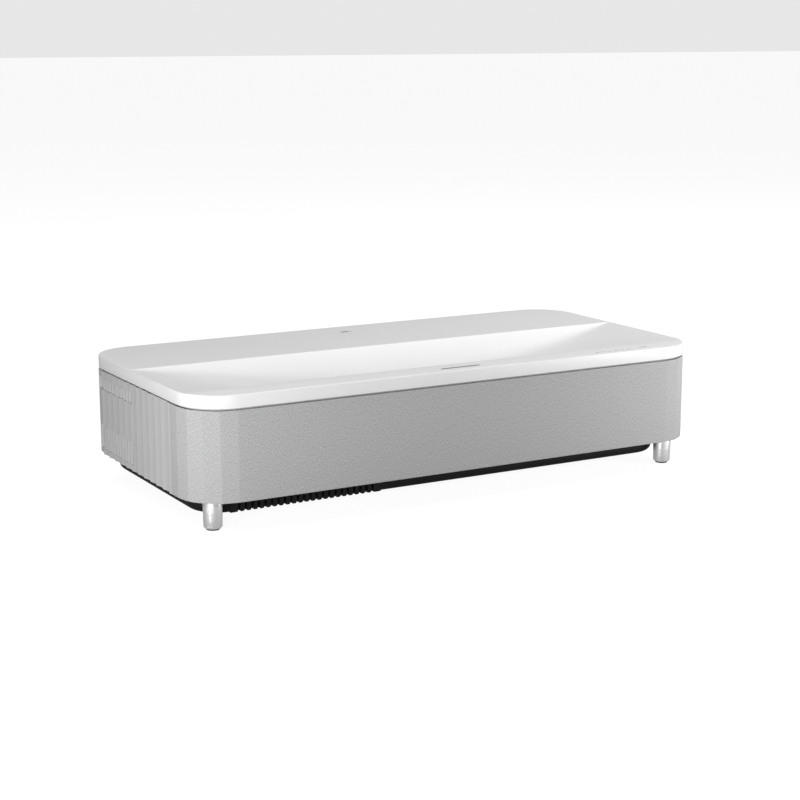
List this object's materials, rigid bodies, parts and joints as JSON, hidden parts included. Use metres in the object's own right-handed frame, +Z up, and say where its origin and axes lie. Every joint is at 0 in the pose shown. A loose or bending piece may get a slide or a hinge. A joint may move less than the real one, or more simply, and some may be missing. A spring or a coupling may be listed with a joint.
{
  "type": "home projector",
  "caption": "Low white ultra-short-throw laser projector with a cloth front grille, louvred sides, a fan-shaped light trough and a black base on screw feet.",
  "frame": {"origin": "centre of the footprint, on the surface the feet stand on", "axes": "+X to the right of somebody facing the cloth front, +Y back towards the wall the picture falls on, +Z up"},
  "size_m": [0.695, 0.341, 0.1576],
  "materials": {
    "white_shell": "satin moulded white",
    "grille_cloth": "light grey heathered weave",
    "side_shell": "fine matt light grey",
    "black_moulding": "matt black",
    "black_gloss": "gloss black",
    "window_glass": "polished, coated",
    "optical_glass": "polished",
    "mirror_face": "polished",
    "foot_metal": "turned satin",
    "alloy": "cast, machined",
    "screw_steel": "black zinc",
    "socket_metal": "plated",
    "rubber": "matt",
    "filter_foam": "pleated fleece",
    "board_green": "solder mask",
    "copper": "nickel-plated copper, stated as brass",
    "phosphor": "phosphor-coated",
    "grey_mark": "matt grey",
    "light_lens": "diffusing",
    "cone_paper": "pressed fibre",
    "key_plastic": "satin"
  },
  "bodies": {
    "body": {"top_cover": "white_shell", "window_bezel": "black_gloss", "projection_window": "window_glass", "reveal_band": "side_shell", "indicator_lenses": "light_lens", "badge_inlays": "grey_mark", "grille_fabric": "grille_cloth", "grille_frame": "black_moulding", "left_side_panel": "side_shell", "right_side_panel": "side_shell", "rear_panel": "side_shell", "connector_bay": "black_moulding", "hdmi_sockets": "socket_metal", "usb_sockets": "socket_metal", "mains_inlet": "black_moulding", "optical_socket": "black_moulding", "base_tray": "black_moulding", "case_screws": "screw_steel", "foot_sockets": "alloy", "left_rear_foot": "rubber", "right_rear_foot": "rubber", "light_shroud": "black_moulding", "concave_mirror": "mirror_face", "lens_barrel": "alloy", "fixed_lenses": "optical_glass", "focus_screw": "screw_steel", "focus_motor": "foot_metal", "prism_block": "optical_glass", "lcd_panels": "black_gloss", "optics_housing": "alloy", "laser_module": "copper", "laser_heatsink": "alloy", "heat_pipes": "copper", "wheel_motor": "foot_metal", "exhaust_fan_frame": "black_moulding", "intake_fan_frame": "black_moulding", "blower_housing": "black_moulding", "left_speaker_box": "black_moulding", "right_speaker_box": "black_moulding", "main_board": "board_green", "power_board": "board_green"},
    "power_key": {"power_button": "key_plastic"},
    "drawer": {"filter_drawer": "black_moulding", "air_filter": "filter_foam"},
    "left_front_foot": {"left_foot_barrel": "foot_metal", "left_foot_pad": "rubber"},
    "right_front_foot": {"right_foot_barrel": "foot_metal", "right_foot_pad": "rubber"},
    "focus_group": {"focus_cell": "black_moulding", "focus_lens": "optical_glass"},
    "wheel": {"phosphor_wheel": "phosphor"},
    "exhaust_rotor": {"exhaust_impeller": "black_moulding"},
    "intake_rotor": {"intake_impeller": "black_moulding"},
    "blower_rotor": {"blower_wheel": "black_moulding"},
    "left_cone": {"left_speaker_cone": "cone_paper"},
    "right_cone": {"right_speaker_cone": "cone_paper"}
  },
  "joints": [
    {"name": "power_press", "type": "slide", "parent": "body", "child": "power_key", "axis": [0, -1, 0], "range_m": [0, 0.0012], "stiffness_N_per_m": 600, "springref_m": -0.0006},
    {"name": "drawer_slide", "type": "slide", "parent": "body", "child": "drawer", "axis": [0, -1, 0], "range_m": [0, 0.06]},
    {"name": "left_foot_travel", "type": "slide", "parent": "body", "child": "left_front_foot", "axis": [0, 0, -1], "range_m": [0, 0.008]},
    {"name": "right_foot_travel", "type": "slide", "parent": "body", "child": "right_front_foot", "axis": [0, 0, -1], "range_m": [0, 0.008]},
    {"name": "focus_travel", "type": "slide", "parent": "body", "child": "focus_group", "axis": [0, 1, 0], "range_m": [-0.006, 0.006]},
    {"name": "wheel_spin", "type": "hinge", "parent": "body", "child": "wheel", "pos_m": [0.13, 0.088, 0.076], "axis": [1, 0, 0], "continuous": true},
    {"name": "exhaust_spin", "type": "hinge", "parent": "body", "child": "exhaust_rotor", "pos_m": [-0.322, 0.072, 0.09], "axis": [1, 0, 0], "continuous": true},
    {"name": "intake_spin", "type": "hinge", "parent": "body", "child": "intake_rotor", "pos_m": [0.322, 0.072, 0.09], "axis": [1, 0, 0], "continuous": true},
    {"name": "blower_spin", "type": "hinge", "parent": "body", "child": "blower_rotor", "pos_m": [-0.19, -0.016, 0.06], "axis": [0, 0, 1], "continuous": true},
    {"name": "left_cone_throw", "type": "slide", "parent": "body", "child": "left_cone", "axis": [0, 1, 0], "range_m": [-0.0012, 0.0012], "stiffness_N_per_m": 1500},
    {"name": "right_cone_throw", "type": "slide", "parent": "body", "child": "right_cone", "axis": [0, 1, 0], "range_m": [-0.0012, 0.0012], "stiffness_N_per_m": 1500}
  ]
}
